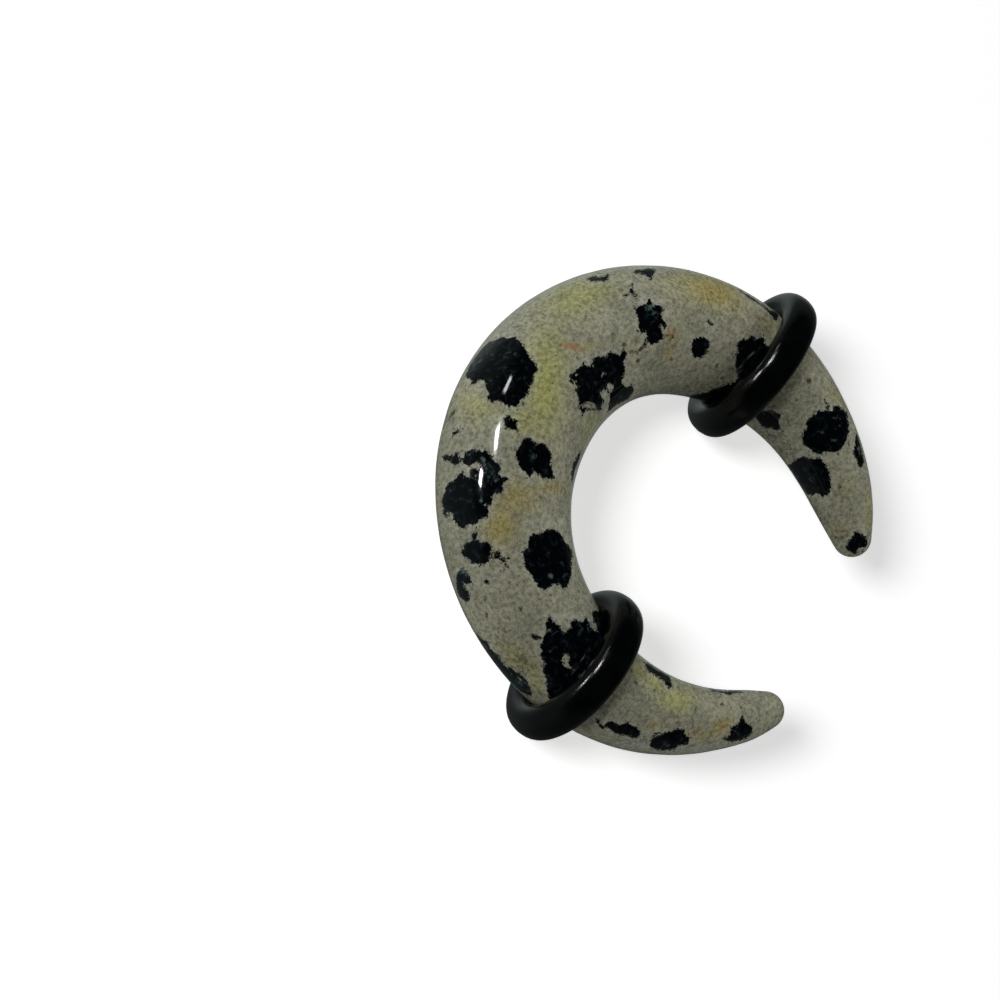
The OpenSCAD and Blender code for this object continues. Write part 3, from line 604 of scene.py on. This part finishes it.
ring_left = rubber_ring("rubber_o_ring_left", -.53, np.array([-11.0851, -3.13677, 0]), [-0.0178072, -0.999841, 0], 4.905, .865, 1.03, 3)
ring_right = rubber_ring("rubber_o_ring_right", .5, np.array([10.9861, -3.99862, -0.05]), [0.00763582, 0.994493, -0.104528], 4.774, .865, 1.03, 4)


# ---------------------------------------------------------------- materials
class Tree:
    def __init__(self, name):
        self.mat = bpy.data.materials.new(name)
        self.mat.use_nodes = True
        self.nt = self.mat.node_tree
        self.nt.nodes.clear()
        self.out = self.nt.nodes.new("ShaderNodeOutputMaterial")
        self.bsdf = self.nt.nodes.new("ShaderNodeBsdfPrincipled")
        self.nt.links.new(self.bsdf.outputs[0], self.out.inputs["Surface"])

    def put(self, socket, value):
        if isinstance(value, bpy.types.NodeSocket):
            self.nt.links.new(value, socket)
        else:
            socket.default_value = value

    def attribute(self, name, vector=False):
        n = self.nt.nodes.new("ShaderNodeAttribute")
        n.attribute_name = name
        return n.outputs["Vector" if vector else "Fac"]

    def noise(self, where, scale, detail=2.0, rough=.5, distort=0.0):
        n = self.nt.nodes.new("ShaderNodeTexNoise")
        self.put(n.inputs["Vector"], where)
        n.inputs["Scale"].default_value = scale
        n.inputs["Detail"].default_value = detail
        n.inputs["Roughness"].default_value = rough
        n.inputs["Distortion"].default_value = distort
        return n.outputs["Fac"]

    def cells(self, where, scale, feature="F1"):
        n = self.nt.nodes.new("ShaderNodeTexVoronoi")
        n.feature = feature
        self.put(n.inputs["Vector"], where)
        n.inputs["Scale"].default_value = scale
        return n

    def math(self, op, a, b=0.0, c=None):
        n = self.nt.nodes.new("ShaderNodeMath")
        n.operation = op
        self.put(n.inputs[0], a)
        self.put(n.inputs[1], b)
        if c is not None:
            self.put(n.inputs[2], c)
        return n.outputs[0]

    def ramp(self, value, lo, hi, a=0.0, b=1.0):
        n = self.nt.nodes.new("ShaderNodeMapRange")
        n.interpolation_type = "SMOOTHSTEP"
        self.put(n.inputs["Value"], value)
        n.inputs["From Min"].default_value = lo
        n.inputs["From Max"].default_value = hi
        n.inputs["To Min"].default_value = a
        n.inputs["To Max"].default_value = b
        return n.outputs["Result"]

    def mix(self, share, a, b, how="MIX"):
        n = self.nt.nodes.new("ShaderNodeMix")
        n.data_type = "RGBA"
        n.blend_type = how
        self.put(n.inputs[0], share)
        for socket, v in ((n.inputs[6], a), (n.inputs[7], b)):
            self.put(socket, v if isinstance(v, bpy.types.NodeSocket) else (*v, 1.0))
        return n.outputs[2]

    def bump(self, height, strength, distance):
        n = self.nt.nodes.new("ShaderNodeBump")
        n.inputs["Strength"].default_value = strength
        n.inputs["Distance"].default_value = distance
        self.put(n.inputs["Height"], height)
        return n.outputs["Normal"]


def lin(r, g, b):
    """A colour given as it looks on a screen, 0 to 255."""
    return tuple(v / 255 / 12.92 if v <= 10 else ((v / 255 + .055) / 1.055) ** 2.4 for v in (r, g, b))


def stone_material():
    t = Tree("spotted_jasper")
    at = t.attribute("place", vector=True)
    spot_d, fleck_d = t.attribute("spot"), t.attribute("fleck")
    veil_and_sheen_a, pale_a = t.attribute("veil_and_sheen"), t.attribute("pale")
    # where a spot ends: its charted edge, made ragged
    coarse = t.noise(at, 2.6, 2, .55)
    fine = t.noise(at, 7.5, 2, .6)
    edge = t.math("ADD", spot_d, t.math("MULTIPLY", t.math("SUBTRACT", coarse, .5), .26))
    edge = t.math("ADD", edge, t.math("MULTIPLY", t.math("SUBTRACT", fine, .5), .30))
    edge = t.math("ADD", edge, t.math("MULTIPLY", t.math("SUBTRACT", t.noise(at, 15, 1, .5), .5), .12))
    dark = t.ramp(edge, -.015, .055, 1, 0)
    # grains that have come loose from the spots, and pale grains inside their rims
    loose = t.noise(at, 5.2, 1, .5)
    loose = t.math("SUBTRACT", t.math("SUBTRACT", loose, .675), t.math("MULTIPLY", t.math("MAXIMUM", spot_d, 0), .30))
    loose = t.ramp(loose, -.004, .02)
    dark = t.math("MAXIMUM", dark, t.math("MULTIPLY", loose, t.ramp(spot_d, .0, .75, 1, 0)))
    kept = t.noise(at, 4.6, 2, .6)
    kept = t.math("SUBTRACT", t.math("SUBTRACT", kept, .69), t.math("MULTIPLY", t.math("MAXIMUM", t.math("MULTIPLY", spot_d, -1), 0), .30))
    kept = t.math("ADD", kept, t.math("MULTIPLY", veil_and_sheen_a, .09))
    kept = t.ramp(kept, -.005, .03)
    # ground
    big = t.noise(at, .45, 3, .55)
    mid = t.noise(at, 1.3, 3, .6)
    sand = t.noise(at, 4.2, 3, .62)
    grit = t.noise(at, 11, 2, .6)
    ground = t.mix(t.ramp(big, .38, .62), lin(104, 104, 89), lin(112, 111, 95))
    ground = t.mix(t.math("MULTIPLY", t.attribute("yellow"), .85), ground, lin(118, 119, 72))
    ground = t.mix(t.math("MULTIPLY", t.attribute("ochre"), .85), ground, lin(114, 105, 62))
    ground = t.mix(t.math("MULTIPLY", pale_a, .75), ground, lin(122, 125, 114))
    ground = t.mix(t.math("MULTIPLY", t.attribute("rust"), t.ramp(sand, .40, .58, .3, .95)), ground, t.mix(t.ramp(mid, .42, .58), lin(132, 84, 55), lin(92, 76, 42)))
    halo = t.math("MULTIPLY", t.ramp(spot_d, .02, .42, 1, 0), .35)
    ground = t.mix(halo, ground, lin(121, 122, 111))
    shade = t.math("ADD", t.ramp(mid, .3, .7, -.10, .10), t.ramp(sand, .32, .68, -.29, .27))
    shade = t.math("ADD", shade, t.ramp(grit, .3, .7, -.13, .13))
    shade = t.math("ADD", shade, t.ramp(t.noise(at, 6.5, 1, .5), .58, .74, 0, -.34))
    # painted shade: the stone made darker where it lies in shade by the rings and on the upper arm
    shade = t.math("ADD", shade, t.math("MULTIPLY", t.attribute("painted_shade"), -.62))
    shade = t.math("ADD", shade, 1.0)
    tone = t.nt.nodes.new("ShaderNodeCombineColor")
    for k in range(3):
        t.put(tone.inputs[k], shade)
    ground = t.mix(1.0, ground, tone.outputs[0], "MULTIPLY")
    grains = t.cells(at, 2.1)
    peppers = t.math("MULTIPLY", t.ramp(grains.outputs["Distance"], .10, .24, 1, 0), t.ramp(t.noise(at, 1.7, 2, .5), .50, .62))
    ground = t.mix(t.math("MULTIPLY", peppers, .45), ground, lin(78, 76, 58))
    crumbs = t.math("ADD", fleck_d, t.math("MULTIPLY", t.math("SUBTRACT", fine, .5), .20))
    ground = t.mix(t.math("MULTIPLY", t.ramp(crumbs, -.05, .06, 1, 0), .88), ground, lin(38, 33, 20))
    # spots: near black, with teal-grey where they are thin, which on the upper-left spot is partly a painted sheen
    cloudy = t.noise(at, 3.1, 3, .65)
    inner = t.mix(t.ramp(cloudy, .49, .76), lin(1, 2, 3), lin(18, 26, 29))
    thin = t.math("ADD", t.math("MULTIPLY", veil_and_sheen_a, .40), t.math("SUBTRACT", cloudy, .5))
    inner = t.mix(t.ramp(thin, .15, .50), inner, lin(58, 72, 70))
    inner = t.mix(t.math("MULTIPLY", kept, t.ramp(veil_and_sheen_a, 0, .6, .35, .9)), inner, lin(104, 112, 104))
    colour = t.mix(dark, ground, inner)
    t.put(t.bsdf.inputs["Base Color"], colour)
    t.put(t.bsdf.inputs["Roughness"], t.math("ADD", t.ramp(dark, 0, 1, .085, .06), t.ramp(sand, .3, .7, -.015, .015)))
    t.bsdf.inputs["IOR"].default_value = 1.54
    t.bsdf.inputs["Specular IOR Level"].default_value = .42
    relief = t.math("SUBTRACT", t.math("MULTIPLY", sand, .35), t.math("MULTIPLY", dark, .3))
    t.put(t.bsdf.inputs["Normal"], t.bump(relief, .10, .00001))
    return t.mat


def rubber_material():
    t = Tree("black_rubber")
    at = t.attribute("place", vector=True)
    haze = t.noise(at, 1.1, 3, .6)
    skin_n = t.noise(at, 14, 3, .65)
    dust = t.math("MULTIPLY", t.ramp(t.cells(at, 2.4).outputs["Distance"], .03, .07, 1, 0), t.ramp(t.noise(at, .9, 1, .5), .56, .62))
    base = t.mix(t.ramp(haze, .35, .7), lin(1, 1, 2), lin(2, 3, 3))
    base = t.mix(t.math("MULTIPLY", dust, .25), base, lin(60, 66, 68))
    t.put(t.bsdf.inputs["Base Color"], base)
    t.put(t.bsdf.inputs["Roughness"], t.math("ADD", t.ramp(haze, .3, .7, .13, .20), t.math("MULTIPLY", t.math("SUBTRACT", skin_n, .5), .12)))
    t.bsdf.inputs["IOR"].default_value = 1.5
    t.bsdf.inputs["Specular IOR Level"].default_value = .5
    t.put(t.bsdf.inputs["Normal"], t.bump(t.math("ADD", skin_n, t.math("MULTIPLY", haze, .5)), .22, .00002))
    return t.mat


stone.data.materials.append(stone_material())
rubber = rubber_material()
ring_left.data.materials.append(rubber)
ring_right.data.materials.append(rubber)
for piece, node, slot in ((stone, "stone_crescent", "stone"), (ring_left, "o_ring_left", "rubber"), (ring_right, "o_ring_right", "rubber")):
    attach(piece, "root")
    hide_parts(node)
    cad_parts[node].data.materials.clear()
    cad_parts[node].data.materials.append(piece.data.materials[0])

# ---------------------------------------------------------------- floor and light
TABLE = .668
floor_mesh = bpy.data.meshes.new("floor")
half = 1.6
floor_mesh.from_pydata([(-half, -half, 0), (half, -half, 0), (half, half, 0), (-half, half, 0)], [], [(0, 1, 2, 3)])
floor = bpy.data.objects.new("floor", floor_mesh)
bpy.context.scene.collection.objects.link(floor)
t = Tree("pale_floor")
t.bsdf.inputs["Base Color"].default_value = (.88, .88, .88, 1)
t.bsdf.inputs["Roughness"].default_value = .75
t.bsdf.inputs["Specular IOR Level"].default_value = .2
t.bsdf.inputs["Emission Color"].default_value = (1, 1, 1, 1)
t.bsdf.inputs["Emission Strength"].default_value = TABLE
floor_mesh.materials.append(t.mat)
floor.location.z = -0.00002

floor.visible_glossy = False

# A dim room: dark overhead, paler low down on the side the light comes from
world = bpy.data.worlds.new("studio")
bpy.context.scene.world = world
world.use_nodes = True
wn = world.node_tree
wn.nodes.clear()
w_out = wn.nodes.new("ShaderNodeOutputWorld")
w_bg = wn.nodes.new("ShaderNodeBackground")
w_tc = wn.nodes.new("ShaderNodeTexCoord")
w_sep = wn.nodes.new("ShaderNodeSeparateXYZ")
wn.links.new(w_tc.outputs["Generated"], w_sep.inputs[0])


def w_node(kind, **sockets):
    n = wn.nodes.new(kind)
    for k, v in sockets.items():
        socket = n.inputs[int(k[1:])]
        if isinstance(v, bpy.types.NodeSocket):
            wn.links.new(v, socket)
        else:
            socket.default_value = v
    return n


def w_range(value, lo, hi, a, b):
    n = wn.nodes.new("ShaderNodeMapRange")
    n.interpolation_type = "SMOOTHSTEP"
    wn.links.new(value, n.inputs["Value"])
    for k, v in (("From Min", lo), ("From Max", hi), ("To Min", a), ("To Max", b)):
        n.inputs[k].default_value = v
    return n.outputs["Result"]


def w_math(op, a, b):
    n = w_node("ShaderNodeMath", i0=a, i1=b)
    n.operation = op
    return n.outputs[0]


low = w_range(w_sep.outputs["Z"], -.1, .35, 1, 0)
below = w_range(w_sep.outputs["Z"], -.70, -.30, 1, 0)
pane = w_math("MULTIPLY", below, w_range(w_sep.outputs["X"], -.62, -.30, .24, .0))
w_all = w_math("ADD", w_math("MULTIPLY", low, w_range(w_sep.outputs["Y"], -.45, .55, .10, .035)), w_math("ADD", pane, .008))
w_tint = w_node("ShaderNodeCombineColor", i0=w_math("MULTIPLY", w_all, .86), i1=w_all, i2=w_math("MULTIPLY", w_all, .97))
wn.links.new(w_tint.outputs[0], w_bg.inputs["Color"])
wn.links.new(w_bg.outputs[0], w_out.inputs["Surface"])
w_bg.inputs["Strength"].default_value = 1.0


def lamp(name, way_a, way_b, width, radiance, far=.8, tint=(1, 1, 1)):
    """A narrow light for the highlights, whose length runs from direction a to direction b."""
    a, b = unit(np.array(way_a, float)), unit(np.array(way_b, float))
    mid = unit(a + b)
    length = float(np.linalg.norm(a - b)) * far
    data = bpy.data.lights.new(name, "AREA")
    data.shape = "RECTANGLE"
    data.size, data.size_y = length, width
    data.energy = radiance * math.pi * length * width
    data.color = tint
    o = bpy.data.objects.new(name, data)
    x = unit(b - a - ((b - a) @ mid) * mid)
    y = np.cross(mid, x)
    m = np.eye(4)
    m[:3, 0], m[:3, 1], m[:3, 2], m[:3, 3] = x, y, mid, mid * far + np.array([.0045, -.0105, .0068])
    o.matrix_world = Matrix(m.tolist())
    o.visible_diffuse = False
    bpy.context.scene.collection.objects.link(o)


lamp("light_a", (-.0792, -.8332, .5473), (.0693, -.7899, .6093), .066, 60)
lamp("light_b", (.2250, -.9120, .3420), (.3303, -.8903, .3135), .060, 60)
lamp("light_c", (-.3450, -.8690, .3560), (-.2850, -.8880, .3600), .055, 14)


# The fill lights are kept off the floor, so that only the key throws a shadow on it
off_floor = bpy.data.collections.new("off_floor")
off_floor.objects.link(floor)
off_floor.collection_objects[0].light_linking.link_state = "EXCLUDE"


def soft(name, way, far, size, radiance, shape="DISK", floor_too=True):
    """A wide soft light that leaves no mirror image of itself on polished stone."""
    way = unit(np.array(way, float))
    data = bpy.data.lights.new(name, "AREA")
    data.shape = shape
    data.size = size
    area = math.pi * size * size / 4 if shape == "DISK" else size * size
    data.energy = radiance * math.pi * area
    o = bpy.data.objects.new(name, data)
    x = unit(np.cross([0, 1, 0], way))
    m = np.eye(4)
    m[:3, 0], m[:3, 1], m[:3, 2], m[:3, 3] = x, np.cross(way, x), way, way * far
    o.matrix_world = Matrix(m.tolist())
    o.visible_glossy = False
    if not floor_too:
        o.light_linking.receiver_collection = off_floor
    bpy.context.scene.collection.objects.link(o)


def share_of_white(share, way, far, size):
    """Radiance of a round light that puts this share of full white on a level white floor."""
    return share * far**2 * 4 / (size**2 * unit(np.array(way, float))[2])


for name, way, far, size, share in (("key", (.378, -.634, .675), .8, .22, .405), ("fill_left", (-.75, -.60, .28), 1.2, .80, .24),
                                    ("fill_back", (-.44, .72, .53), 1.2, .80, .47), ("fill_right", (.50, .75, .43), 1.2, .80, .07),
                                    ("fill_front", (.20, -.93, .30), 1.2, .80, .105)):
    soft(name, way, far, size, share_of_white(share, way, far, size), floor_too=name == "key")

bpy.context.scene.view_settings.view_transform = "Standard"
bpy.context.scene.view_settings.look = "None"
bpy.context.scene.view_settings.exposure = 0.0
